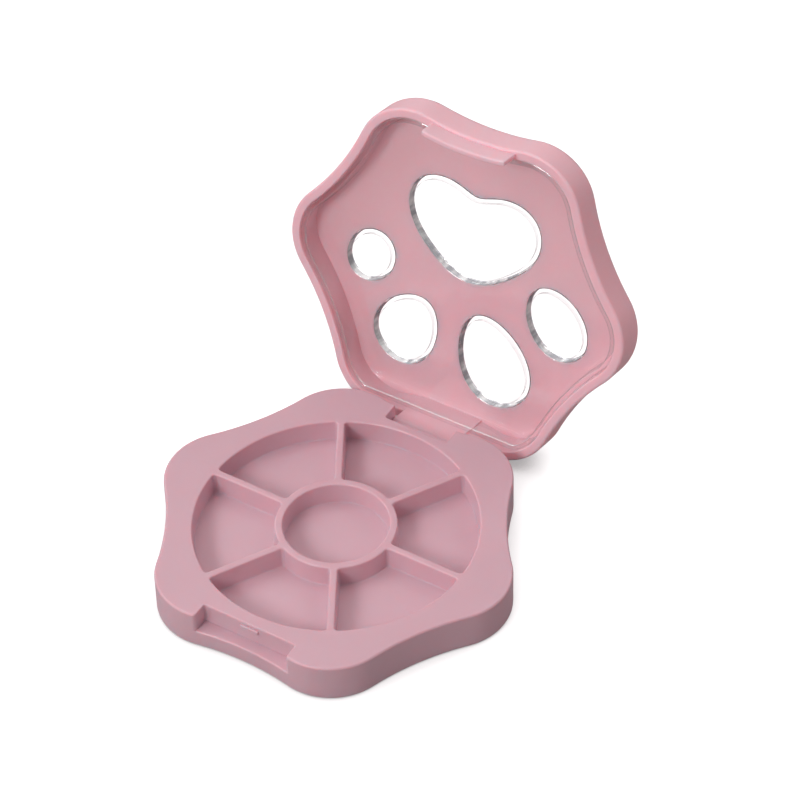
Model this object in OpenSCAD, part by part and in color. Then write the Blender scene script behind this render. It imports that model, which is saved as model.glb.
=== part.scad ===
// Six-lobed flip-lid pill case with seven compartments and paw-shaped windows.
// Origin: centre of the underside. +Z is up, the hinge is at the back (+Y), the latch in front (-Y).
// The lid is drawn shut and then swung back to the stop, where it rests in this model.

/* [Outline] */
// Distance across two opposite lobes
across_lobes = 88.7; // [80:0.1:100]
// Radius of each lobe
lobe_r = 14.6; // [13:0.1:17]
// Radius of the hollow flank between two lobes
flank_r = 65.4; // [50:0.1:90]

/* [Base] */
// Height of the base
base_h = 10.1; // [9.5:0.1:12]
// Radius of the ring of six compartments
ring_r = 32.8; // [30:0.1:33]
// Radius of the middle compartment
cup_r = 12.2; // [8:0.1:16]
// Wall round the middle compartment
cup_wall = 1.85; // [1.2:0.05:3]
// Thickness of the six radial walls
spoke_t = 1.7; // [1.2:0.1:3]
// Depth of the compartments
well_depth = 5.4; // [3:0.1:7]
// Rounding of the deck edge
deck_edge_r = 0.6; // [0.3:0.1:1]
// Rounding of the bottom edge
foot_edge_r = 1.0; // [0.5:0.1:1.5]

/* [Lid] */
// Height of the lid, rim to top
lid_h = 9.4; // [8:0.1:10]
// Gap between the shut lid and the deck
parting_gap = 0.3; // [0.3:0.05:0.5]
// Wall of the lid shell
lid_wall = 2.3; // [1.8:0.1:3]
// Thickness of the top of the lid shell
lid_top_t = 2.0; // [1.5:0.1:2.5]
// Rounding of the top edge of the lid
lid_edge_r = 2.9; // [2.5:0.1:3.5]
// Opening angle
open_angle = 104; // [90:1:104]

/* [Window liner] */
// Wall of the clear liner
liner_wall = 1.3; // [1:0.1:1.6]
// Thickness of the liner floor
liner_floor_t = 1.2; // [1:0.1:1.5]
// Wall round each raised pane
pane_wall = 1.0; // [0.8:0.1:1.2]
// Thickness of each pane
pane_t = 1.1; // [0.8:0.1:1.2]

/* [Hinge] */
// Distance of the hinge pin behind the centre
hinge_y = 38.3; // [38.2:0.1:38.6]
// Height of the hinge pin
hinge_z = 5.0; // [4.8:0.1:5]
// Radius of the hinge pin
pin_r = 0.75; // [0.5:0.05:0.8]
// Length of the hinge pin
pin_l = 25; // [22:0.5:26]
// Radius of the knuckles round the pin
knuckle_r = 1.8; // [1.6:0.1:1.8]
// Half width of the pocket for the lid's knuckle
pocket_half_w = 8.35; // [7:0.05:9]

/* [Latch] */
// Half width of the recess for the latch tab
recess_half_w = 12; // [10:0.1:13]
// Depth of the recess below the deck
recess_depth = 5.2; // [4:0.1:5.6]
// Distance of the recess's back wall from the centre
recess_y = 36.1; // [35.5:0.1:36.3]
// Half width of the latch tab
tab_half_w = 10.9; // [9:0.1:11.5]
// Length of the latch tab below the rim
tab_l = 4.9; // [4:0.1:5]

/* [Hidden] */

$fn = 96;
overlap = 0.05;
far = 60;
pink = "#d9a5ab";
clear = [0.93, 0.95, 0.97, 0.35];
steel = "#c4c6c9";

// Outline: lobes on a circle of radius lobe_c, flanks cut by circles centred flank_c away
lobe_c = across_lobes / 2 - lobe_r;
flank_c = lobe_c * cos(30) + sqrt(pow(lobe_r + flank_r, 2) - pow(lobe_c / 2, 2));
lobe_half = atan2(flank_c * sin(30), flank_c * cos(30) - lobe_c);
flank_half = lobe_half - 30;
flank_y = flank_c - flank_r;
lobe_steps = 6;
flank_steps = 5;

// Heights of the shut lid, counted from the table
rim_z = base_h + parting_gap;
top_z = rim_z + lid_h;
ceiling_z = top_z - lid_top_t;
liner_rim_z = rim_z + 0.4;
liner_inner_z = ceiling_z - liner_floor_t;
pane_out_z = top_z - 0.2;
pane_in_z = pane_out_z - pane_t;

// Fits
liner_gap = 0.1;
pin_run = 0.05;
pin_grip = 0.01;
lug_side_gap = 0.25;
pocket_y = 35.0;
lug_y = 36.7;
chord_y = 35.2;
pocket_floor_z = 2.6;
cheek_half_w = 13;
tab_inset = 0.75;
tab_t = 1.3;
rib_out = 0.45;
tooth_out = 0.2;

// Toe windows: [x, y, half length, half width, turn, egg shape]
toes = [
    [-26.2, 4.7, 6.2, 7.4, 32, 0.0],
    [-14.4, 20.0, 10.1, 8.1, 118, 0.15],
    [8.9, 20.1, 11.9, 9.3, 62, 0.15],
    [23.7, 4.2, 9.5, 7.6, 53, 0.05]
];
// Pad window: centre, mean radius and the size of its second, third and fourth wave
pad_at = [-0.5, -11.0];
pad_r = 14.4;
pad_wave = [2.9, 1.85, 0.2];
window_steps = 36;

function dir(a) = [cos(a), sin(a)];

function lobe_arc(a, inset) = [
    for (i = [-lobe_steps : lobe_steps])
        lobe_c * dir(a) + (lobe_r - inset) * dir(a + lobe_half * i / lobe_steps)
];

function flank_arc(a, inset) = [
    for (i = [1 : flank_steps - 1])
        flank_c * dir(a) + (flank_r + inset) * dir(a + 180 + flank_half * (1 - 2 * i / flank_steps))
];

// The lobed outline, moved inwards by inset
module outline(inset) {
    points = [
        for (k = [0 : 5])
            each concat(lobe_arc(60 * k, inset), flank_arc(60 * k + 30, inset))
    ];
    polygon(points);
}

module slab(z0, z1, inset) {
    translate([0, 0, z0]) linear_extrude(z1 - z0) outline(inset);
}

// A slab whose edge is rounded with radius r in steps: up is 1 at its top and -1 at its bottom
module rounded_edge(z_edge, r, up, steps) {
    for (i = [0 : steps - 1]) {
        low = r * sin(90 * i / steps) - overlap;
        high = r * sin(90 * (i + 1) / steps);
        inset = r - r * cos(90 * (i + 1) / steps);
        z_a = z_edge - up * (r - low);
        z_b = z_edge - up * (r - high);
        slab(min(z_a, z_b), max(z_a, z_b), inset);
    }
}

module box(low, high) {
    translate(low) cube(high - low);
}

module along_x(x0, x1, r) {
    translate([x0, hinge_y, hinge_z]) rotate([0, 90, 0]) cylinder(r = r, h = x1 - x0);
}

// Swings what is drawn shut back to the opening angle
module opened() {
    translate([0, hinge_y, hinge_z])
        rotate([-open_angle, 0, 0])
            translate([0, -hinge_y, -hinge_z])
                children();
}

module toe_outline(toe, inset) {
    long = toe[2] - inset;
    wide = toe[3] - inset;
    points = [
        for (i = [0 : window_steps - 1])
            let (a = 360 * i / window_steps)
                [long * cos(a), wide * sin(a) * (1 + toe[5] * cos(a))]
    ];
    translate([toe[0], toe[1]]) rotate(toe[4]) polygon(points);
}

module pad_outline(inset) {
    points = [
        for (i = [0 : window_steps - 1])
            let (a = 360 * i / window_steps)
                (pad_r - inset + pad_wave[0] * cos(2 * a) - pad_wave[1] * sin(3 * a)
                    - pad_wave[2] * cos(4 * a)) * dir(a)
    ];
    translate(pad_at) polygon(points);
}

module windows(z0, z1, inset) {
    translate([0, 0, z0]) linear_extrude(z1 - z0) {
        for (toe = toes) toe_outline(toe, inset);
        pad_outline(inset);
    }
}

// The six compartments between the radial walls, and the round one in the middle
module compartments() {
    translate([0, 0, base_h - well_depth]) {
        cylinder(r = cup_r, h = well_depth + 1);
        difference() {
            cylinder(r = ring_r, h = well_depth + 1);
            translate([0, 0, -1]) cylinder(r = cup_r + cup_wall, h = well_depth + 3);
            for (a = [0 : 60 : 120])
                rotate(a) translate([-far, -spoke_t / 2, -1]) cube([2 * far, spoke_t, well_depth + 3]);
        }
    }
}

module latch_recess() {
    box([-recess_half_w, -far, base_h - recess_depth], [recess_half_w, -recess_y, base_h + 1]);
}

module latch_rib() {
    box([-2.4, -recess_y - rib_out, base_h - 2.1], [2.4, -recess_y + 1, base_h - 1.0]);
}

module hinge_pocket() {
    box([-pocket_half_w, pocket_y, pocket_floor_z], [pocket_half_w, far, base_h + 1]);
}

module base() {
    color(pink) difference() {
        union() {
            difference() {
                union() {
                    rounded_edge(0, foot_edge_r, -1, 3);
                    slab(foot_edge_r, base_h - deck_edge_r, 0);
                    rounded_edge(base_h, deck_edge_r, 1, 3);
                    along_x(-cheek_half_w, cheek_half_w, knuckle_r);
                }
                compartments();
                latch_recess();
                hinge_pocket();
            }
            latch_rib();
        }
        along_x(-pin_l / 2, far, pin_r + pin_grip);
    }
}

// Knuckle and neck that reach from the lid into the hinge pocket
module lid_lug() {
    half = pocket_half_w - lug_side_gap;
    along_x(-half, half, knuckle_r);
    intersection() {
        slab(hinge_z, ceiling_z + overlap, 0);
        box([-half, lug_y, hinge_z], [half, far, ceiling_z + overlap]);
    }
}

module latch_tab() {
    intersection() {
        difference() {
            slab(rim_z - tab_l, rim_z + 1, tab_inset);
            slab(rim_z - tab_l - 1, rim_z + 2, tab_inset + tab_t);
        }
        box([-tab_half_w, -far, 0], [tab_half_w, 0, far]);
    }
    tooth_y = -flank_y + tab_inset + tab_t;
    box([-2.4, tooth_y - 0.6, rim_z - tab_l + 0.5], [2.4, tooth_y + tooth_out, rim_z - tab_l + 1.5]);
}

module lid_shell() {
    color(pink) opened() difference() {
        union() {
            difference() {
                union() {
                    rounded_edge(rim_z, deck_edge_r, -1, 3);
                    slab(rim_z + deck_edge_r, top_z - lid_edge_r, 0);
                    rounded_edge(top_z, lid_edge_r, 1, 4);
                }
                slab(rim_z - 1, ceiling_z, lid_wall);
            }
            lid_lug();
            latch_tab();
        }
        windows(ceiling_z - 1, top_z + 1, 0);
        along_x(-far, far, pin_r + pin_run);
    }
}

// Inside of the liner: the lobed outline cut straight in front of the hinge
module liner_room(z0, z1, inset, y) {
    intersection() {
        slab(z0, z1, inset);
        box([-far, -far, z0], [far, y, z1]);
    }
}

module window_liner() {
    outer = lid_wall + liner_gap;
    color(clear) opened() difference() {
        union() {
            difference() {
                liner_room(liner_rim_z, ceiling_z, outer, chord_y + liner_wall);
                liner_room(liner_rim_z - 1, liner_inner_z, outer + liner_wall, chord_y);
            }
            windows(liner_inner_z, pane_out_z, liner_gap);
        }
        windows(liner_inner_z - 1, pane_in_z, liner_gap + pane_wall);
    }
}

module hinge_pin() {
    color(steel) along_x(-pin_l / 2, pin_l / 2, pin_r);
}

base();
lid_shell();
window_liner();
hinge_pin();
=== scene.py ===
import math

import bmesh
import bpy
from mathutils import Matrix, Vector
from mathutils.geometry import tessellate_polygon


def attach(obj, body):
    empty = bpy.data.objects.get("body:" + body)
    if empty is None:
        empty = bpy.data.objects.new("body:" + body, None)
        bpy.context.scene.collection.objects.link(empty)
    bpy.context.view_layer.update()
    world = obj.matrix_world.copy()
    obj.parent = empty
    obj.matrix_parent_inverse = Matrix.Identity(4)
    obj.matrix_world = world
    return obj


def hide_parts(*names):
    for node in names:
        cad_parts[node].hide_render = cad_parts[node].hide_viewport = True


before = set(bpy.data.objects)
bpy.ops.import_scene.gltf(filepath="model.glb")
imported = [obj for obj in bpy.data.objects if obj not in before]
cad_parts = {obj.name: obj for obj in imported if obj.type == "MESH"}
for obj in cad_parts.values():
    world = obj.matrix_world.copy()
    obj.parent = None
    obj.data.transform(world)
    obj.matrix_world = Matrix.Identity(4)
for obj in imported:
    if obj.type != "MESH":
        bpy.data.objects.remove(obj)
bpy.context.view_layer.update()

MM = 0.001

# ---- Sizes -----------------------------------------------------------------------------------
# The driving sizes are those of part.scad. Edge roundings, drafts and coves are this model's own,
# and so are the lug's half width, its front and top and the one bore radius, which differ from the
# CAD by 0.2 mm at most.
ACROSS_LOBES = 88.7
LOBE_R = 14.6
FLANK_R = 65.4

BASE_H = 10.1
RING_R = 32.8
CUP_R = 12.2
CUP_WALL = 1.85
SPOKE_T = 1.7
WELL_DEPTH = 5.4
DECK_EDGE = 0.6
FOOT_EDGE = 1.0

PARTING_GAP = 0.3
LID_H = 9.4
LID_WALL = 2.3
LID_TOP_T = 2.0
LID_EDGE = 2.9
OPEN_ANGLE = 104

LINER_GAP = 0.1
LINER_WALL = 1.3
LINER_FLOOR_T = 1.2
LINER_BACK_Y = 36.5
PANE_WALL = 1.0
PANE_T = 1.1

HINGE_Y = 38.3
HINGE_Z = 5.0
PIN_R = 0.75
PIN_L = 25
KNUCKLE_R = 1.8
BORE_R = 0.8
CHEEK_HALF_W = 13
LUG_HALF_W = 8.28
LUG_Y = 36.6

# How far the lug's top stands above the lid's ceiling, and its back inside the outline
LUG_EDGE = 0.15
LUG_STEP = 0.25
LUG_BACK_INSET = 0.03
CHEEK_EDGE = 0.2
BORE_EDGE = 0.1
PIN_END_PLAY = 0.1
PIN_EDGE = 0.25
CHEEK_GAP = 0.02
# The bore runs out through the base's right side, where the pin goes in
PAST_THE_WALL = 40

# Notches in the base's outline: the hinge pocket and the latch recess
POCKET = {"half_w": 8.35, "back_y": 35.0, "floor_z": 2.6, "mouth_r": 0.25}
RECESS = {"half_w": 12.0, "back_y": 36.1, "floor_z": 4.9, "mouth_r": 0.9}
HINGE_SIDE = 90
LATCH_SIDE = 270
NOTCHES = {HINGE_SIDE: POCKET, LATCH_SIDE: RECESS}
DECK_EDGE_IN = 0.5
RECESS_LIP = 0.4

# Latch tab
TAB_HALF_W = 10.9
TAB_L = 4.9
TAB_INSET = 0.75
TAB_T = 1.3
TAB_CORNER = 0.8
TAB_OUTER_EDGE = 0.5
TAB_INNER_EDGE = 0.3
TAB_END_EDGE = 0.3
TAB_ROOT = 2

# Catch: a rib in the recess and a tooth on the tab, which share their half length
CATCH_HALF_L = 2.4
RIB_OUT = 0.45
RIB_ROOT = 1
RIB_BELOW_DECK = (2.1, 1.0)
RIB_EDGE = 0.3
TOOTH_OUT = 0.2
TOOTH_ROOT = 0.6
TOOTH_ABOVE_TAB_END = (0.5, 1.5)
TOOTH_EDGE = 0.2

# Lid rim and windows
RIM_INNER_EDGE = 0.3
CAVITY_DRAFT = 0.1
WINDOW_OUTER_EDGE = 0.4
WINDOW_INNER_EDGE = 0.2

# Clear liner: edges and hollow roundings, each as height and width where they differ
LINER_RIM_ABOVE_LID_RIM = 0.4
PANE_BELOW_TOP = 0.2
LINER_RIM_EDGE = (0.4, 0.3)
LINER_TOP_EDGE = 0.8
LINER_CEILING_GAP = 0.05
LINER_COVE = (1.5, 1.6)
LINER_DRAFT = 0.1
PANE_EDGE = 0.3
PANE_MOUTH = (0.6, 1.3)
PANE_FOOT = (0.2, 0.25)
PANE_DRAFT = 0.05
LINER_EDGE_STEPS = 5

# Which of the liner's materials a stretch of its skin has
# The second of these paints a silvery reflection onto the panes' upright walls
POLISHED, PAINTED_SILVER, GLINT = 0, 1, 2

# Toe windows: centre, half length, half width, turn, egg shape
TOES = [
    ((-26.2, 4.7), 6.2, 7.4, 32, 0.0),
    ((-14.4, 20.0), 10.1, 8.1, 118, 0.15),
    ((8.9, 20.1), 11.9, 9.3, 62, 0.15),
    ((23.7, 4.2), 9.5, 7.6, 53, 0.05),
]
# Pad window: centre, mean radius and the size of its second, third and fourth wave
PAD_AT = (-0.5, -11.0)
PAD_R = 14.4
PAD_WAVE = (2.9, 1.85, 0.2)

# ---- Worked-out places -----------------------------------------------------------------------
LOBE_C = ACROSS_LOBES / 2 - LOBE_R
HALF_STEP = math.radians(30)
FLANK_C = LOBE_C * math.cos(HALF_STEP) + math.sqrt((LOBE_R + FLANK_R) ** 2 - (LOBE_C / 2) ** 2)
FLANK_X = FLANK_C * math.cos(HALF_STEP) - LOBE_C
LOBE_HALF = math.degrees(math.atan2(FLANK_C * math.sin(HALF_STEP), FLANK_X))
FLANK_HALF = LOBE_HALF - 30

RIM_Z = BASE_H + PARTING_GAP
TOP_Z = RIM_Z + LID_H
CEILING_Z = TOP_Z - LID_TOP_T
LINER_RIM_Z = RIM_Z + LINER_RIM_ABOVE_LID_RIM
LINER_IN_Z = CEILING_Z - LINER_FLOOR_T
PANE_OUT_Z = TOP_Z - PANE_BELOW_TOP
PANE_IN_Z = PANE_OUT_Z - PANE_T
WELL_Z = BASE_H - WELL_DEPTH
TAB_Z = RIM_Z - TAB_L


# ---- Plan curves -----------------------------------------------------------------------------
# A path is a closed list of (x, y, normal x, normal y, softness). The normal points out of the
# material. Softness scales how far a rounded edge eats into the material there.

def heading(angle):
    """Cosine and sine of an angle in degrees."""
    return math.cos(math.radians(angle)), math.sin(math.radians(angle))


def spread(start, end, count):
    """count values from start to end, both included."""
    return [start + (end - start) * i / (count - 1) for i in range(count)]


def arc(centre, radius, start, end, count, soft=1.0):
    """Arc whose normals turn from start to end degrees. A hollow arc has a negative radius."""
    path = []
    for angle in spread(start, end, count):
        nx, ny = heading(angle)
        path.append((centre[0] + radius * nx, centre[1] + radius * ny, nx, ny, soft))
    return path


def at_angle(angle, radius):
    """The point at that angle and distance from the centre of the case."""
    x, y = heading(angle)
    return radius * x, radius * y


def turned(path, angle):
    """The path turned about the centre of the case."""
    c, s = heading(angle)
    result = []
    for x, y, nx, ny, soft in path:
        result.append((c * x - s * y, s * x + c * y, c * nx - s * ny, s * nx + c * ny, soft))
    return result


def mirrored(path):
    """The path on the other side of the Y axis, in the same sense of turning."""
    return [(-x, y, -nx, ny, soft) for x, y, nx, ny, soft in reversed(path)]


def moved_in(path, distance, flip=False):
    """The path moved into the material; flipped, it bounds the hollow on that line instead."""
    sign = -1 if flip else 1
    result = []
    for x, y, nx, ny, soft in path:
        result.append((x - distance * nx, y - distance * ny, sign * nx, sign * ny, soft))
    return result


def lobe(angle, before, after, steps=25):
    """A lobe, from so many degrees before its middle to so many after it."""
    return arc(at_angle(angle, LOBE_C), LOBE_R, angle - before, angle + after, steps)


def flank(angle, steps=13):
    """The hollow stretch between two lobes, without its end points."""
    whole = arc(at_angle(angle, FLANK_C), -FLANK_R, angle + FLANK_HALF, angle - FLANK_HALF, steps)
    return whole[1:-1]


def on_back(x):
    """The point of the plain outline at x, behind the centre, with its normal."""
    turn = math.degrees(math.asin(x / FLANK_R))
    if abs(turn) <= FLANK_HALF:
        nx, ny = heading(90 + turn)
        return -FLANK_R * nx, FLANK_C - FLANK_R * ny, nx, ny, 1.0
    lobe_x, lobe_y = at_angle(60 if x > 0 else 120, LOBE_C)
    nx = (x - lobe_x) / LOBE_R
    ny = math.sqrt(1 - nx ** 2)
    return x, lobe_y + LOBE_R * ny, nx, ny, 1.0


def notch_mouth(notch):
    """Rounded corner where a notch meets the outline.

    Gives its centre, the angle of its first normal and whether it is on a lobe.
    """
    x = notch["half_w"] + notch["mouth_r"]
    reach = FLANK_R + notch["mouth_r"]
    turn = math.degrees(math.asin(x / reach))
    if turn < FLANK_HALF:
        return (x, FLANK_C - math.sqrt(reach ** 2 - x ** 2)), 90 + turn, False
    lobe_x, lobe_y = at_angle(60, LOBE_C)
    y = lobe_y + math.sqrt((LOBE_R - notch["mouth_r"]) ** 2 - (x - lobe_x) ** 2)
    return (x, y), math.degrees(math.atan2(y - lobe_y, x - lobe_x)), True


def notched_flank(angle, notch, is_open, corner_r=0.5, soft=0.5):
    """A flank with a notch cut into it, or the plain flank with the same count of points."""
    centre, touch, on_lobe = notch_mouth(notch)
    corner = (notch["half_w"] - corner_r, notch["back_y"] + corner_r)
    right = [] if on_lobe else arc((0, FLANK_C), -FLANK_R, 90 + FLANK_HALF, touch, 6)[1:]
    mouth = arc(centre, notch["mouth_r"], touch, 180, 8)[1:]
    right += [point[:4] + (s,) for point, s in zip(mouth, spread(1, soft, len(mouth)))]
    right += arc(corner, -corner_r, 180, 90, 6, soft)
    right += [(x, notch["back_y"], 0.0, 1.0, soft) for x in spread(corner[0], 0, 8)[1:]]
    whole = right + mirrored(right[:-1])
    if not is_open:
        whole = [on_back(point[0]) for point in whole]
    return turned(whole, angle - 90)


def lobed_outline():
    """The plain outline of the lid and of the base's foot."""
    path = []
    for k in range(6):
        path += lobe(60 * k, LOBE_HALF, LOBE_HALF) + flank(60 * k + 30)
    return path


def base_outline(open_notches):
    """The outline with the same count of points whichever notches are open."""
    path = []
    for k in range(6):
        middle = 60 * k + 30
        path += lobe(60 * k, lobe_reach(middle - 60), lobe_reach(middle))
        if middle in NOTCHES:
            path += notched_flank(middle, NOTCHES[middle], middle in open_notches)
        else:
            path += flank(middle)
    return path


def lobe_reach(middle):
    """How far a lobe goes towards the flank at that angle, in degrees."""
    if middle not in NOTCHES:
        return LOBE_HALF
    touch, on_lobe = notch_mouth(NOTCHES[middle])[1:]
    return touch - 60 if on_lobe else LOBE_HALF


def sector_outline(index, corner_r=0.9):
    """One of the six compartments between two spokes."""
    hub_r = CUP_R + CUP_WALL
    offset = SPOKE_T / 2 + corner_r
    far = math.degrees(math.asin(offset / (RING_R - corner_r)))
    near = math.degrees(math.asin(offset / (hub_r + corner_r)))
    path = arc(at_angle(far, RING_R - corner_r), -corner_r, 90, far + 180, 7)
    path += arc((0, 0), -RING_R, far + 180, 240 - far, 33)[1:-1]
    path += arc(at_angle(60 - far, RING_R - corner_r), -corner_r, 240 - far, 330, 7)
    path += arc(at_angle(60 - near, hub_r + corner_r), -corner_r, 330, 420 - near, 7)
    path += arc((0, 0), hub_r, 60 - near, near, 15)[1:-1]
    path += arc(at_angle(near, hub_r + corner_r), -corner_r, near, 90, 7)
    return turned(path, 60 * index)


def round_well():
    """The middle compartment."""
    return arc((0, 0), -CUP_R, 0, 360, 97)[:-1]


def liner_outline(corner_r=3.8):
    """Outside of the clear liner: the lobed outline, cut straight in front of the hinge."""
    inset = LID_WALL + LINER_GAP
    radius = LOBE_R - inset
    lobe_x, lobe_y = at_angle(60, LOBE_C)
    corner_y = LINER_BACK_Y - corner_r
    corner_x = lobe_x + math.sqrt((radius - corner_r) ** 2 - (corner_y - lobe_y) ** 2)
    touch = math.degrees(math.atan2(corner_y - lobe_y, corner_x - lobe_x))
    right = arc((lobe_x, lobe_y), radius, 60 - LOBE_HALF, touch, 20)
    right += arc((corner_x, corner_y), corner_r, touch, 90, 6)[1:]
    right += [(x, LINER_BACK_Y, 0.0, 1.0, 1.0) for x in spread(corner_x, 0, 12)[1:]]
    path = right + mirrored(right[:-1])
    for k in range(2, 6):
        path += moved_in(flank(60 * k + 30) + lobe(60 * k + 60, LOBE_HALF, LOBE_HALF), inset)
    return path + moved_in(flank(30), inset)


def window_curve(centre, point_at, turn=0.0, steps=96):
    """Closed curve round a window, with normals that point into the opening."""
    c, s = heading(turn)
    plan = []
    for i in range(steps):
        x, y = point_at(360 * i / steps)
        plan.append((centre[0] + c * x - s * y, centre[1] + s * x + c * y))
    path = []
    for i, (x, y) in enumerate(plan):
        before, after = plan[i - 1], plan[(i + 1) % steps]
        along = Vector((after[0] - before[0], after[1] - before[1])).normalized()
        path.append((x, y, -along.y, along.x, 1.0))
    return path


def toe_window(centre, half_l, half_w, turn, egg):
    """An oval window, thicker at one end when egg isn't zero."""
    def point_at(angle):
        x, y = heading(angle)
        return half_l * x, half_w * y * (1 + egg * x)
    return window_curve(centre, point_at, turn)


def pad_window():
    """The large window: a circle with two, three and four waves added to its radius."""
    def point_at(angle):
        waves = PAD_WAVE[0] * heading(2 * angle)[0]
        waves -= PAD_WAVE[1] * heading(3 * angle)[1]
        waves -= PAD_WAVE[2] * heading(4 * angle)[0]
        return at_angle(angle, PAD_R + waves)
    return window_curve(PAD_AT, point_at)


def windows():
    return [toe_window(*toe) for toe in TOES] + [pad_window()]


# ---- Rounded profiles and meshes -------------------------------------------------------------

def bend(start, end, leaves, steps=5):
    """Quarter round from start to end, both (z, inset). It leaves start along "z" or "inset"."""
    profile = []
    for angle in spread(0, 90, steps + 1):
        across, along = heading(angle)
        z_part, inset_part = (along, 1 - across) if leaves == "z" else (1 - across, along)
        z = start[0] + (end[0] - start[0]) * z_part
        inset = start[1] + (end[1] - start[1]) * inset_part
        profile.append((z, inset))
    return profile


def sweep(path, profile):
    """One ring of points for each (z, inset) of the profile."""
    rings = []
    for z, inset in profile:
        ring = []
        for x, y, nx, ny, soft in path:
            step = inset * soft
            ring.append((x - step * nx, y - step * ny, z))
        rings.append(ring)
    return rings


class Moulding:
    """Gathers rings and flat faces into one closed mesh."""

    def __init__(self):
        self.points = []
        self.faces = []
        self.finishes = []

    def _add(self, ring):
        first = len(self.points)
        self.points += ring
        return range(first, first + len(ring))

    def skin(self, rings, finish=0):
        """Joins each ring to the next with four-sided faces. finish is the number of their material."""
        known = [self._add(ring) for ring in rings]
        for low, high in zip(known, known[1:]):
            count = len(low)
            for i in range(count):
                j = (i + 1) % count
                self.faces.append((low[i], low[j], high[j], high[i]))
                self.finishes.append(finish)

    def flat(self, rim, holes=()):
        """Closes a ring with a flat face, leaving out the holes."""
        loops = [rim, *holes]
        index = [i for loop in loops for i in self._add(loop)]
        outlines = [[Vector(point) for point in loop] for loop in loops]
        for a, b, c in tessellate_polygon(outlines):
            self.faces.append((index[a], index[b], index[c]))
            self.finishes.append(0)

    def finish(self, name):
        """Makes the object, in metres."""
        mesh = bpy.data.meshes.new(name)
        scaled = [tuple(v * MM for v in point) for point in self.points]
        mesh.from_pydata(scaled, [], self.faces)
        mesh.polygons.foreach_set("material_index", self.finishes)
        return new_object(name, clean(mesh))


def clean(mesh, weld=0.002 * MM):
    """Welds touching points, drops empty faces and turns every face outwards."""
    work = bmesh.new()
    work.from_mesh(mesh)
    bmesh.ops.remove_doubles(work, verts=work.verts, dist=weld)
    bmesh.ops.dissolve_degenerate(work, edges=work.edges, dist=weld)
    bmesh.ops.recalc_face_normals(work, faces=work.faces)
    work.to_mesh(mesh)
    work.free()
    return mesh


def new_object(name, mesh):
    piece = bpy.data.objects.new(name, mesh)
    bpy.context.scene.collection.objects.link(piece)
    return piece


def combine(piece, tool, operation):
    """Adds the tool's solid to the piece, or cuts it away."""
    change = piece.modifiers.new("combine", "BOOLEAN")
    change.operation = operation
    change.solver = "EXACT"
    change.object = tool
    depsgraph = bpy.context.evaluated_depsgraph_get()
    mesh = bpy.data.meshes.new_from_object(piece.evaluated_get(depsgraph))
    piece.modifiers.clear()
    piece.data = clean(mesh)
    bpy.data.objects.remove(tool)


def shade(piece, sharp=34):
    """Smooth shading that keeps flat faces flat and real corners sharp."""
    mesh = piece.data
    mesh.shade_smooth()
    mesh.set_sharp_from_angle(angle=math.radians(sharp))
    even = piece.modifiers.new("even_normals", "WEIGHTED_NORMAL")
    even.keep_sharp = True
    even.weight = 80


def bar(name, sections):
    """A closed solid from equal cross-sections, capped at both ends."""
    solid = Moulding()
    solid.skin(sections)
    solid.flat(sections[0])
    solid.flat(sections[-1])
    return solid.finish(name)


def end_rounding(half, radius, inner_steps, end_steps=5):
    """(x, inset) along a bar from -half to half, rounded at both ends."""
    right = [(half - radius + radius * heading(angle)[1], radius - radius * heading(angle)[0])
             for angle in spread(0, 90, end_steps)]
    left = [(-x, inset) for x, inset in reversed(right)]
    middle = [(x, 0.0) for x in spread(radius - half, half - radius, inner_steps)[1:-1]]
    return left + middle + right


# ---- Base ------------------------------------------------------------------------------------

def well(tray, path, top_r=0.4, floor_r=0.35, draft=0.2):
    """A compartment sunk into the deck. Returns the ring where it leaves the deck."""
    profile = bend((BASE_H, top_r), (BASE_H - top_r, 0), "inset")
    profile += bend((WELL_Z + floor_r, -draft), (WELL_Z, -draft - floor_r), "z")
    rings = sweep(path, profile)
    tray.skin(rings)
    tray.flat(rings[-1])
    return rings[0]


def knuckle(name, x_low, x_high, radius, edge):
    """Round bar on the hinge axis."""
    half = (x_high - x_low) / 2
    middle = (x_high + x_low) / 2
    sections = []
    for x, inset in end_rounding(half, edge, 3):
        r = radius - inset
        ring = [(middle + x, HINGE_Y + r * heading(a)[0], HINGE_Z + r * heading(a)[1])
                for a in spread(0, 360, 49)[:-1]]
        sections.append(ring)
    return bar(name, sections)


def soft_block(name, half_l, y_range, z_range, edge):
    """Small block with rounded edges, lying along X."""
    sections = []
    for x, inset in end_rounding(half_l, edge, 4):
        ring = []
        corners = [(y_range[1], z_range[1], 0), (y_range[0], z_range[1], 90)]
        corners += [(y_range[0], z_range[0], 180), (y_range[1], z_range[0], 270)]
        for y, z, start in corners:
            inwards_y = -1 if y == y_range[1] else 1
            inwards_z = -1 if z == z_range[1] else 1
            for angle in spread(start, start + 90, 5):
                ny, nz = heading(angle)
                r = edge - inset
                ring.append((x, y + inwards_y * edge + r * ny, z + inwards_z * edge + r * nz))
        sections.append(ring)
    return bar(name, sections)


def recess_softness(point):
    """1 along the front lip of the latch recess and 0 elsewhere, so that only the lip is rounded."""
    return float(abs(point[0]) < RECESS["half_w"] and point[1] < 0)


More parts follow.
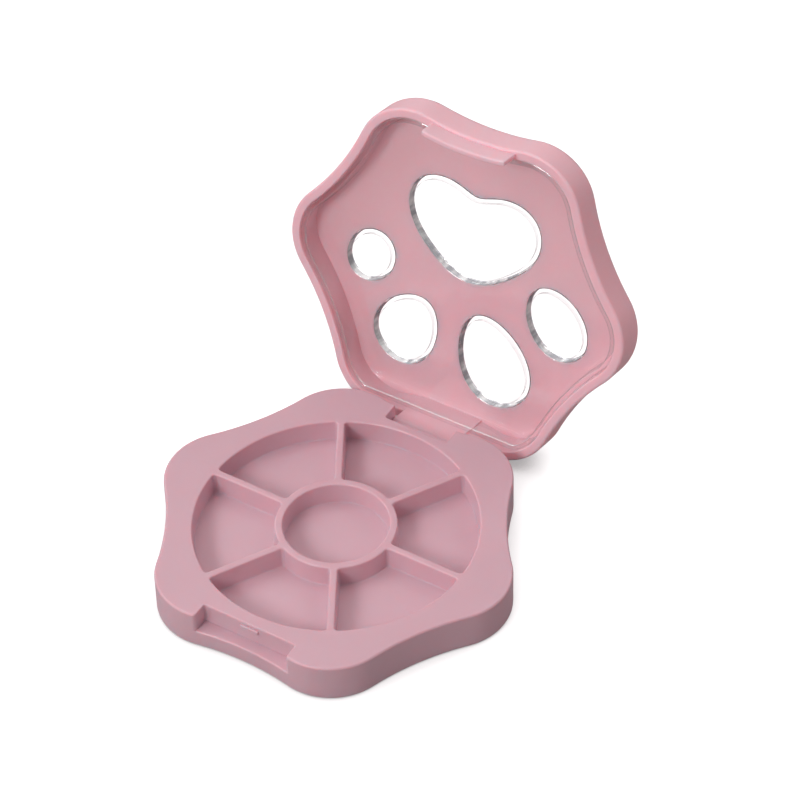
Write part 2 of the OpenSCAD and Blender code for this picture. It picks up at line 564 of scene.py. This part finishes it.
def make_base():
    """The tray: outside, notches and compartments as one skin, then the hinge cheeks and the bore."""
    plain = base_outline([])
    pocketed = base_outline([HINGE_SIDE])
    notched = base_outline([HINGE_SIDE, LATCH_SIDE])
    lip = [point[:4] + (recess_softness(point),) for point in pocketed]
    rings = sweep(plain, bend((0, FOOT_EDGE), (FOOT_EDGE, 0), "inset", 6))
    rings += sweep(plain, [(POCKET["floor_z"], 0)])
    rings += sweep(pocketed, [(POCKET["floor_z"], 0)])
    lip_z = RECESS["floor_z"]
    rings += sweep(lip, bend((lip_z - RECESS_LIP, 0), (lip_z, RECESS_LIP), "z", 4))
    rings += sweep(notched, [(lip_z, 0)])
    rings += sweep(notched, bend((BASE_H - DECK_EDGE, 0), (BASE_H, DECK_EDGE_IN), "z", 6))
    tray = Moulding()
    tray.skin(rings)
    tray.flat(rings[0])
    wells = [sector_outline(k) for k in range(6)] + [round_well()]
    tray.flat(rings[-1], [well(tray, path) for path in wells])
    base = tray.finish("base_tray")

    wall_y = -RECESS["back_y"]
    rib_y = (wall_y - RIB_OUT, wall_y + RIB_ROOT)
    rib_z = (BASE_H - RIB_BELOW_DECK[0], BASE_H - RIB_BELOW_DECK[1])
    combine(base, soft_block("rib", CATCH_HALF_L, rib_y, rib_z, RIB_EDGE), "UNION")
    inner_x = POCKET["half_w"] + CHEEK_GAP
    for low, high in ((-CHEEK_HALF_W, -inner_x), (inner_x, CHEEK_HALF_W)):
        combine(base, knuckle("cheek", low, high, KNUCKLE_R, CHEEK_EDGE), "UNION")
    bore = knuckle("bore", -PIN_L / 2 - PIN_END_PLAY, PAST_THE_WALL, BORE_R, BORE_EDGE)
    combine(base, bore, "DIFFERENCE")
    shade(base)
    return base


# ---- Lid -------------------------------------------------------------------------------------

def lug_section(x, inset):
    """Side view of the hinge lug at x: knuckle below, neck up to the lid's top."""
    radius = KNUCKLE_R - inset
    back = on_back(x)[1] - LUG_BACK_INSET - inset
    front = LUG_Y + inset
    top = CEILING_Z + LUG_STEP - inset
    start = 180 - math.degrees(math.acos((HINGE_Y - front) / radius))
    end = 360 + math.degrees(math.acos((back - HINGE_Y) / radius))
    ring = []
    for angle in spread(start, end, 30):
        c, s = heading(angle)
        ring.append((x, HINGE_Y + radius * c, HINGE_Z + radius * s))
    return ring + [(x, back, top), (x, front, top)]


def tab_section(x, inset):
    """Side view of the latch tab at x. It hangs from the lid's front wall."""
    past = min(TAB_CORNER, max(0.0, abs(x) - (TAB_HALF_W - TAB_CORNER)))
    bottom = TAB_Z + TAB_CORNER - math.sqrt(TAB_CORNER ** 2 - past ** 2)
    face_y = -on_back(x)[1] + TAB_INSET + inset
    back_y = face_y + TAB_T - 2 * inset
    root_z = RIM_Z + TAB_ROOT
    ring = [(x, face_y, root_z)]
    for angle in spread(180, 270, 6):
        c, s = heading(angle)
        ring.append((x, face_y + TAB_OUTER_EDGE * (1 + c), bottom + TAB_OUTER_EDGE * (1 + s)))
    for angle in spread(270, 360, 5):
        c, s = heading(angle)
        ring.append((x, back_y - TAB_INNER_EDGE * (1 - c), bottom + TAB_INNER_EDGE * (1 + s)))
    return ring + [(x, back_y, root_z)]


def make_lid():
    """The lid, modelled shut and swung open: shell with five windows, hinge lug, latch tab."""
    outline = lobed_outline()
    cavity = moved_in(outline, LID_WALL, flip=True)
    shell = Moulding()
    outside = sweep(outline, bend((RIM_Z, DECK_EDGE), (RIM_Z + DECK_EDGE, 0), "inset"))
    outside += sweep(outline, bend((TOP_Z - LID_EDGE, 0), (TOP_Z, LID_EDGE), "z", 12))
    inside = sweep(cavity, bend((RIM_Z, RIM_INNER_EDGE), (RIM_Z + RIM_INNER_EDGE, 0), "inset", 4))
    inside += sweep(cavity, [(CEILING_Z, -CAVITY_DRAFT)])
    shell.skin(outside)
    shell.skin(inside)
    shell.skin([outside[0], inside[0]])
    upper, lower = [], []
    for window in windows():
        profile = bend((TOP_Z, WINDOW_OUTER_EDGE), (TOP_Z - WINDOW_OUTER_EDGE, 0), "inset", 4)
        profile += bend((CEILING_Z + WINDOW_INNER_EDGE, 0), (CEILING_Z, WINDOW_INNER_EDGE), "z", 3)
        rings = sweep(window, profile)
        shell.skin(rings)
        upper.append(rings[0])
        lower.append(rings[-1])
    shell.flat(outside[-1], upper)
    shell.flat(inside[-1], lower)
    lid = shell.finish("lid_shell_moulding")

    lug_places = end_rounding(LUG_HALF_W, LUG_EDGE, 16)
    combine(lid, bar("lug", [lug_section(x, inset) for x, inset in lug_places]), "UNION")
    tab_places = end_rounding(TAB_HALF_W, TAB_END_EDGE, 22)
    combine(lid, bar("tab", [tab_section(x, inset) for x, inset in tab_places]), "UNION")
    tab_back_y = -on_back(0)[1] + TAB_INSET + TAB_T
    tooth_y = (tab_back_y - TOOTH_ROOT, tab_back_y + TOOTH_OUT)
    tooth_z = (TAB_Z + TOOTH_ABOVE_TAB_END[0], TAB_Z + TOOTH_ABOVE_TAB_END[1])
    combine(lid, soft_block("tooth", CATCH_HALF_L, tooth_y, tooth_z, TOOTH_EDGE), "UNION")
    combine(lid, knuckle("bore", -CHEEK_HALF_W, CHEEK_HALF_W, BORE_R, BORE_EDGE), "DIFFERENCE")
    lid.data.transform(opened())
    shade(lid)
    return lid


def make_liner():
    """The clear moulding inside the lid: floor, low rim and five raised panes, each a hollow boss."""
    outline = liner_outline()
    room = moved_in(outline, LINER_WALL, flip=True)
    top = CEILING_Z - LINER_CEILING_GAP
    edge_h, edge_w = LINER_RIM_EDGE
    rim = bend((LINER_RIM_Z, edge_w), (LINER_RIM_Z + edge_h, 0), "inset", LINER_EDGE_STEPS)
    cove_h, cove_w = LINER_COVE
    cove = bend((LINER_IN_Z - cove_h, -LINER_DRAFT), (LINER_IN_Z, -cove_w), "z", 8)
    liner = Moulding()
    outside = sweep(outline, rim)
    outside += sweep(outline, bend((top - LINER_TOP_EDGE, 0), (top, LINER_TOP_EDGE), "z", 6))
    inside = sweep(room, rim) + sweep(room, cove)
    edge = LINER_EDGE_STEPS + 1
    liner.skin(outside[:edge], GLINT)
    liner.skin(outside[edge - 1:])
    liner.skin(inside[:edge], GLINT)
    liner.skin(inside[edge - 1:])
    liner.skin([outside[0], inside[0]])
    outer_feet, inner_mouths = [], []
    for window in windows():
        boss = moved_in(window, -LINER_GAP, flip=True)
        rings = sweep(boss, [(top, 0)] + bend((PANE_OUT_Z - PANE_EDGE, 0), (PANE_OUT_Z, PANE_EDGE), "z"))
        liner.skin(rings, PAINTED_SILVER)
        liner.flat(rings[-1])
        outer_feet.append(rings[0])
        pocket = moved_in(window, -LINER_GAP - PANE_WALL)
        mouth_z = LINER_IN_Z + PANE_MOUTH[0]
        mouth = sweep(pocket, bend((LINER_IN_Z, PANE_MOUTH[1]), (mouth_z, 0), "inset", 8))
        foot = bend((PANE_IN_Z - PANE_FOOT[0], -PANE_DRAFT), (PANE_IN_Z, -PANE_FOOT[1]), "z")
        wall = sweep(pocket, [(mouth_z, 0)] + foot)
        liner.skin(mouth)
        liner.skin(wall)
        liner.flat(wall[-1])
        inner_mouths.append(mouth[0])
    liner.flat(outside[-1], outer_feet)
    liner.flat(inside[-1], inner_mouths)
    clear = liner.finish("window_liner_clear")
    clear.data.transform(opened())
    shade(clear)
    return clear


def opened():
    """Swings what is modelled shut back to the stop, where it rests."""
    hinge = Vector((0, HINGE_Y, HINGE_Z)) * MM
    swing = Matrix.Rotation(math.radians(-OPEN_ANGLE), 4, "X")
    return Matrix.Translation(hinge) @ swing @ Matrix.Translation(-hinge)


def make_pin():
    """The steel pin that the lid turns on."""
    pin = knuckle("hinge_pin_steel", -PIN_L / 2, PIN_L / 2, PIN_R, PIN_EDGE)
    shade(pin)
    return pin


# ---- Materials -------------------------------------------------------------------------------
# The two pinks, each between a light and a deep tone; scatter is how far light goes in, in metres
BASE_LIGHT = (0.715, 0.485, 0.548)
BASE_DEEP = (0.695, 0.469, 0.531)
BASE_SCATTER = 0.0018
# The lid's pink is painted lighter than the base's. This is painted light for the lid's inside, which the
# lamps leave dim.
LID_LIGHT = (0.93, 0.60, 0.66)
LID_DEEP = (0.91, 0.58, 0.64)
LID_SCATTER = 0.0025
FACE_SHINE = 0.05
EDGE_SHINE = 0.35


def new_material(name):
    """An empty material, with its nodes and its links."""
    material = bpy.data.materials.new(name)
    material.use_nodes = True
    nodes = material.node_tree.nodes
    nodes.clear()
    return material, nodes, material.node_tree.links


def noise(nodes, links, scale, detail=3.0, roughness=0.55):
    """Procedural noise in the piece's own coordinates; scale is in cycles per metre."""
    coords = nodes.new("ShaderNodeTexCoord")
    texture = nodes.new("ShaderNodeTexNoise")
    texture.inputs["Scale"].default_value = scale
    texture.inputs["Detail"].default_value = detail
    texture.inputs["Roughness"].default_value = roughness
    links.new(coords.outputs["Object"], texture.inputs["Vector"])
    return texture.outputs["Fac"]


def ranged(nodes, links, value, low, high):
    """Maps noise onto a range of values."""
    stretch = nodes.new("ShaderNodeMapRange")
    stretch.inputs["From Min"].default_value = 0.3
    stretch.inputs["From Max"].default_value = 0.7
    stretch.inputs["To Min"].default_value = low
    stretch.inputs["To Max"].default_value = high
    links.new(value, stretch.inputs["Value"])
    return stretch.outputs["Result"]


def blended(nodes, links, factor, first, second):
    mix = nodes.new("ShaderNodeMix")
    mix.data_type = "RGBA"
    mix.inputs["A"].default_value = (*first, 1)
    mix.inputs["B"].default_value = (*second, 1)
    links.new(factor, mix.inputs["Factor"])
    return mix.outputs["Result"]


def bumped(nodes, links, height, distance, strength, under=None):
    bump = nodes.new("ShaderNodeBump")
    bump.inputs["Distance"].default_value = distance
    bump.inputs["Strength"].default_value = strength
    links.new(height, bump.inputs["Height"])
    if under is not None:
        links.new(under, bump.inputs["Normal"])
    return bump.outputs["Normal"]


def pink_plastic(name, light, deep, depth):
    """Satin injection-moulded plastic: a fine moulded grain and a faint unevenness of colour."""
    material, nodes, links = new_material(name)
    output = nodes.new("ShaderNodeOutputMaterial")
    shader = nodes.new("ShaderNodeBsdfPrincipled")
    cloud = noise(nodes, links, 45, 2.0)
    grain = noise(nodes, links, 2600, 2.0)
    waves = noise(nodes, links, 160, 2.0)
    colour = blended(nodes, links, ranged(nodes, links, cloud, 0, 1), light, deep)
    links.new(colour, shader.inputs["Base Color"])
    links.new(ranged(nodes, links, grain, 0.36, 0.46), shader.inputs["Roughness"])
    wavy = bumped(nodes, links, waves, 0.00012, 0.35)
    links.new(bumped(nodes, links, grain, 0.00003, 0.5, wavy), shader.inputs["Normal"])
    shader.inputs["IOR"].default_value = 1.49
    shader.inputs["Specular IOR Level"].default_value = 0.65
    shader.inputs["Subsurface Weight"].default_value = 0.85
    shader.inputs["Subsurface Radius"].default_value = (1.0, 0.35, 0.32)
    shader.inputs["Subsurface Scale"].default_value = depth
    links.new(shader.outputs["BSDF"], output.inputs["Surface"])
    return material


def clear_plastic(name, shine):
    """Polished clear styrene, drawn as see-through with a gloss that grows towards a glancing view.

    shine is the share it mirrors face on. Lamp light passes it freely.
    """
    material, nodes, links = new_material(name)
    output = nodes.new("ShaderNodeOutputMaterial")
    through = nodes.new("ShaderNodeBsdfTransparent")
    through.inputs["Color"].default_value = (0.995, 0.995, 0.995, 1)
    gloss = nodes.new("ShaderNodeBsdfGlossy")
    haze = noise(nodes, links, 900, 2.0)
    flow = noise(nodes, links, 110, 2.0)
    ripples = bumped(nodes, links, flow, 0.0002, 0.4)
    links.new(ranged(nodes, links, haze, 0.04, 0.10), gloss.inputs["Roughness"])
    links.new(ripples, gloss.inputs["Normal"])
    slant = nodes.new("ShaderNodeLayerWeight")
    slant.inputs["Blend"].default_value = 0.5
    links.new(ripples, slant.inputs["Normal"])
    steep = nodes.new("ShaderNodeMath")
    steep.operation = "POWER"
    steep.inputs[1].default_value = 4.0
    mirror = nodes.new("ShaderNodeMath")
    mirror.operation = "MULTIPLY_ADD"
    mirror.inputs[1].default_value = 1 - shine
    mirror.inputs[2].default_value = shine
    path = nodes.new("ShaderNodeLightPath")
    lighting = nodes.new("ShaderNodeMath")
    lighting.operation = "MAXIMUM"
    seen = nodes.new("ShaderNodeMath")
    seen.operation = "SUBTRACT"
    seen.use_clamp = True
    mix = nodes.new("ShaderNodeMixShader")
    links.new(slant.outputs["Facing"], steep.inputs[0])
    links.new(steep.outputs["Value"], mirror.inputs[0])
    links.new(path.outputs["Is Shadow Ray"], lighting.inputs[0])
    links.new(path.outputs["Is Diffuse Ray"], lighting.inputs[1])
    links.new(mirror.outputs["Value"], seen.inputs[0])
    links.new(lighting.outputs["Value"], seen.inputs[1])
    links.new(seen.outputs["Value"], mix.inputs["Fac"])
    links.new(through.outputs["BSDF"], mix.inputs[1])
    links.new(gloss.outputs["BSDF"], mix.inputs[2])
    links.new(mix.outputs["Shader"], output.inputs["Surface"])
    return material


def painted_silver_plastic(name):
    """The panes' upright walls: a painted silvery reflection that stands in for how clear plastic looks edge
    on, streaked light and dark along the depth.
    """
    material, nodes, links = new_material(name)
    output = nodes.new("ShaderNodeOutputMaterial")
    shader = nodes.new("ShaderNodeBsdfPrincipled")
    coords = nodes.new("ShaderNodeTexCoord")
    upright = nodes.new("ShaderNodeMapping")
    upright.vector_type = "TEXTURE"
    upright.inputs["Rotation"].default_value = (math.radians(-OPEN_ANGLE), 0, 0)
    upright.inputs["Scale"].default_value = (1, 1, 6)
    streaks = nodes.new("ShaderNodeTexNoise")
    streaks.inputs["Scale"].default_value = 550
    streaks.inputs["Detail"].default_value = 3.0
    links.new(coords.outputs["Object"], upright.inputs["Vector"])
    links.new(upright.outputs["Vector"], streaks.inputs["Vector"])
    marks = streaks.outputs["Fac"]
    dark = ranged(nodes, links, marks, -0.6, 1.6)
    # Painted reflection: streaks from white to grey stand in for the bright and dark of clear plastic seen
    # edge on
    colour = blended(nodes, links, dark, (1.0, 1.0, 1.0), (0.46, 0.46, 0.49))
    links.new(colour, shader.inputs["Base Color"])
    links.new(ranged(nodes, links, marks, 0.10, 0.28), shader.inputs["Roughness"])
    links.new(bumped(nodes, links, marks, 0.0004, 0.9), shader.inputs["Normal"])
    shader.inputs["Metallic"].default_value = 0.6
    shader.inputs["IOR"].default_value = 1.5
    links.new(shader.outputs["BSDF"], output.inputs["Surface"])
    return material


def steel(name):
    """Drawn steel wire: fine scratches along its length."""
    material, nodes, links = new_material(name)
    output = nodes.new("ShaderNodeOutputMaterial")
    shader = nodes.new("ShaderNodeBsdfPrincipled")
    shader.inputs["Metallic"].default_value = 1.0
    coords = nodes.new("ShaderNodeTexCoord")
    drawn = nodes.new("ShaderNodeMapping")
    drawn.inputs["Scale"].default_value = (0.04, 1, 1)
    scratches = nodes.new("ShaderNodeTexNoise")
    scratches.inputs["Scale"].default_value = 9000
    links.new(coords.outputs["Object"], drawn.inputs["Vector"])
    links.new(drawn.outputs["Vector"], scratches.inputs["Vector"])
    marks = scratches.outputs["Fac"]
    colour = blended(nodes, links, ranged(nodes, links, marks, 0, 1), (0.62, 0.63, 0.64), (0.50, 0.50, 0.51))
    links.new(colour, shader.inputs["Base Color"])
    links.new(ranged(nodes, links, marks, 0.22, 0.38), shader.inputs["Roughness"])
    links.new(bumped(nodes, links, marks, 0.00001, 0.4), shader.inputs["Normal"])
    links.new(shader.outputs["BSDF"], output.inputs["Surface"])
    return material


def pale_floor(name):
    """White paper over a light table.

    Only the camera sees its glow, so the case's sides stay shaded. The glow fades near the case, which is a
    painted contact shadow.
    """
    material, nodes, links = new_material(name)
    output = nodes.new("ShaderNodeOutputMaterial")
    shader = nodes.new("ShaderNodeBsdfPrincipled")
    paper = noise(nodes, links, 12, 3.0)
    colour = blended(nodes, links, ranged(nodes, links, paper, 0, 1), (0.42, 0.42, 0.42), (0.39, 0.39, 0.39))
    links.new(colour, shader.inputs["Base Color"])
    links.new(ranged(nodes, links, paper, 0.85, 0.95), shader.inputs["Roughness"])
    shader.inputs["Specular IOR Level"].default_value = 0.1
    glow = nodes.new("ShaderNodeEmission")
    # Painted contact shadow: ambient occlusion dims the glow on the floor close to the case
    painted_contact_shadow = nodes.new("ShaderNodeAmbientOcclusion")
    painted_contact_shadow.samples = 8
    painted_contact_shadow.inputs["Distance"].default_value = 0.012
    links.new(ranged(nodes, links, painted_contact_shadow.outputs["AO"], 0.35, 0.93), glow.inputs["Strength"])
    both = nodes.new("ShaderNodeAddShader")
    path = nodes.new("ShaderNodeLightPath")
    mix = nodes.new("ShaderNodeMixShader")
    links.new(shader.outputs["BSDF"], both.inputs[0])
    links.new(glow.outputs["Emission"], both.inputs[1])
    links.new(path.outputs["Is Camera Ray"], mix.inputs["Fac"])
    links.new(shader.outputs["BSDF"], mix.inputs[1])
    links.new(both.outputs["Shader"], mix.inputs[2])
    links.new(mix.outputs["Shader"], output.inputs["Surface"])
    return material


# ---- Studio ----------------------------------------------------------------------------------
CAMERA_AZIMUTH = 32.53
CAMERA_ELEVATION = 44.208
CAMERA_ROLL = -1.613
CAMERA_DISTANCE = 819.71
CAMERA_SIDE = 14.561
CAMERA_RISE = 27.954
CAMERA_LENS = 162.2
SENSOR_WIDTH = 36

# Light: colours of the lamps and of the fill, and how strong the studio is from dark to bright side
COOL = (0.86, 1, 1)
WHITE = (1, 1, 1)
ROSY = (1, 0.76, 0.78)
BRIGHT_SIDE = (-0.7, 0.15, 0.7)
MATT_FILL = (0.20, 0.56)
GLOSS_CARDS = (0.4, 1.2)
FLOOR_HALF = 3.0


def make_camera():
    """The photograph's view: from the front right, looking down on the open case."""
    ca, sa = heading(CAMERA_AZIMUTH)
    ce, se = heading(CAMERA_ELEVATION)
    level_right = Vector((ca, sa, 0))
    back = Vector((sa * ce, -ca * ce, se))
    level_up = back.cross(level_right)
    cr, sr = heading(CAMERA_ROLL)
    right = cr * level_right + sr * level_up
    up = cr * level_up - sr * level_right
    target = Vector((0, 0, BASE_H))
    eye = (target + CAMERA_SIDE * right + CAMERA_RISE * up + CAMERA_DISTANCE * back) * MM
    data = bpy.data.cameras.new("camera")
    data.lens = CAMERA_LENS
    data.sensor_width = SENSOR_WIDTH
    data.clip_start = 0.01
    camera = bpy.data.objects.new("camera", data)
    turn = Matrix((right, up, back)).transposed().to_4x4()
    camera.matrix_world = Matrix.Translation(eye) @ turn
    bpy.context.scene.collection.objects.link(camera)
    bpy.context.scene.camera = camera


def area_light(name, spot, target, size, power, colour):
    """A soft lamp at spot that faces the target, both in metres."""
    data = bpy.data.lights.new(name, "AREA")
    data.shape = "RECTANGLE"
    data.size, data.size_y = size
    data.energy = power
    data.color = colour
    light = bpy.data.objects.new(name, data)
    aim = (Vector(target) - Vector(spot)).to_track_quat("-Z", "Y")
    light.matrix_world = Matrix.Translation(spot) @ aim.to_matrix().to_4x4()
    bpy.context.scene.collection.objects.link(light)


def make_world(bright_side, for_diffuse, for_gloss):
    """A studio from dark to bright towards one side.

    Matt faces get a rosy fill, like light that pink plastic throws back. Gloss and the camera find
    white cards, which are brighter.
    """
    world = bpy.data.worlds.new("studio")
    world.use_nodes = True
    nodes, links = world.node_tree.nodes, world.node_tree.links
    background = nodes["Background"]
    coords = nodes.new("ShaderNodeTexCoord")
    towards = nodes.new("ShaderNodeVectorMath")
    towards.operation = "DOT_PRODUCT"
    towards.inputs[1].default_value = Vector(bright_side).normalized()
    fade = nodes.new("ShaderNodeMapRange")
    fade.interpolation_type = "SMOOTHSTEP"
    fade.inputs["From Min"].default_value = -0.3
    fade.inputs["From Max"].default_value = 0.9
    path = nodes.new("ShaderNodeLightPath")
    looked_at = nodes.new("ShaderNodeMath")
    looked_at.operation = "MAXIMUM"
    links.new(path.outputs["Is Glossy Ray"], looked_at.inputs[0])
    links.new(path.outputs["Is Camera Ray"], looked_at.inputs[1])
    for socket, matt, glossy in zip(("To Min", "To Max"), for_diffuse, for_gloss):
        cards = nodes.new("ShaderNodeMix")
        cards.inputs["A"].default_value = matt
        cards.inputs["B"].default_value = glossy
        links.new(looked_at.outputs["Value"], cards.inputs["Factor"])
        links.new(cards.outputs["Result"], fade.inputs[socket])
    colour = blended(nodes, links, looked_at.outputs["Value"], ROSY, WHITE)
    links.new(colour, background.inputs["Color"])
    links.new(coords.outputs["Generated"], towards.inputs[0])
    links.new(towards.outputs["Value"], fade.inputs["Value"])
    links.new(fade.outputs["Result"], background.inputs["Strength"])
    bpy.context.scene.world = world


def make_floor():
    half = FLOOR_HALF
    corners = [(-half, -half, 0), (half, -half, 0), (half, half, 0), (-half, half, 0)]
    mesh = bpy.data.meshes.new("floor")
    mesh.from_pydata(corners, [], [(0, 1, 2, 3)])
    floor = new_object("floor", mesh)
    floor.data.materials.append(pale_floor("floor_paper"))


def make_studio():
    make_camera()
    make_floor()
    make_world(BRIGHT_SIDE, MATT_FILL, GLOSS_CARDS)
    area_light("key", (-1.7, -0.7, 1.6), (0, 0, 0.02), (0.7, 0.7), 7.0, COOL)
    area_light("top", (-0.6, 0.45, 2.2), (0, 0, 0), (1.2, 0.9), 4.5, COOL)
    area_light("front", (-0.4, -2.0, 1.5), (0, 0, 0.03), (0.9, 0.7), 25.0, WHITE)
    area_light("rear", (0.9, 1.1, 1.2), (0, 0.06, 0.04), (0.9, 0.7), 5.0, WHITE)
    bpy.context.scene.view_settings.view_transform = "Standard"


# ---- Assembly --------------------------------------------------------------------------------

def place(piece, materials, body, node):
    """Dresses a piece and ties it to its body and the CAD node it stands for."""
    for material in materials:
        piece.data.materials.append(material)
    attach(piece, body)
    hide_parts(node)


def main():
    base_pink = pink_plastic("pink_base", BASE_LIGHT, BASE_DEEP, BASE_SCATTER)
    lid_pink_painted_lighter = pink_plastic("pink_lid", LID_LIGHT, LID_DEEP, LID_SCATTER)
    clear = [clear_plastic("clear_window", FACE_SHINE)]
    clear += [painted_silver_plastic("clear_window_walls"), clear_plastic("clear_window_edges", EDGE_SHINE)]
    place(make_base(), [base_pink], "case", "base")
    place(make_lid(), [lid_pink_painted_lighter], "lid", "lid_shell")
    place(make_liner(), clear, "lid", "window_liner")
    place(make_pin(), [steel("steel_pin")], "case", "hinge_pin")
    make_studio()


main()
